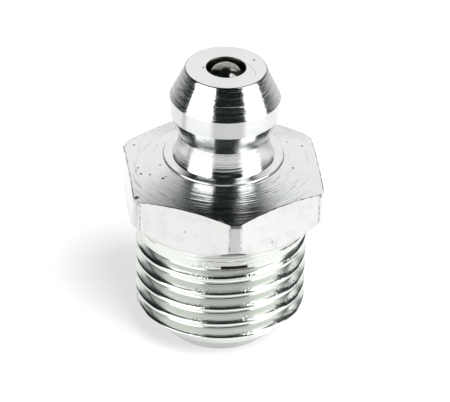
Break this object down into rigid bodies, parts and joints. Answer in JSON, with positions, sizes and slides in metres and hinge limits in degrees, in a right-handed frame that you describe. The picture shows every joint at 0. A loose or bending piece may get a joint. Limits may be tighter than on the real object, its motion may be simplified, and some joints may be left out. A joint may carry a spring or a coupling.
{
  "type": "grease nipple",
  "caption": "Straight grease nipple with a conical coupler head, hexagon and parallel fine-thread shank, closed by a spring-loaded check ball.",
  "frame": {"origin": "centre of the thread end's flat ring, on the axis", "axes": "+Z along the axis from the thread end to the coupler head, +Y through a corner of the hexagon, +X square to two of its flats"},
  "size_m": [0.011, 0.0124, 0.0175],
  "materials": {
    "body_zinc": "bright zinc plate over fine turning marks",
    "ball_steel": "polished hardened steel, slightly dulled",
    "spring_steel": "drawn spring wire"
  },
  "bodies": {
    "body": {"nipple_body": "body_zinc", "valve_spring": "spring_steel"},
    "ball": {"check_ball": "ball_steel"}
  },
  "joints": [
    {"name": "ball_lift", "type": "slide", "parent": "body", "child": "ball", "axis": [0, 0, -1], "range_m": [0, 0.001], "stiffness_N_per_m": 790, "springref_m": -0.0015, "deforming": ["valve_spring"]}
  ]
}
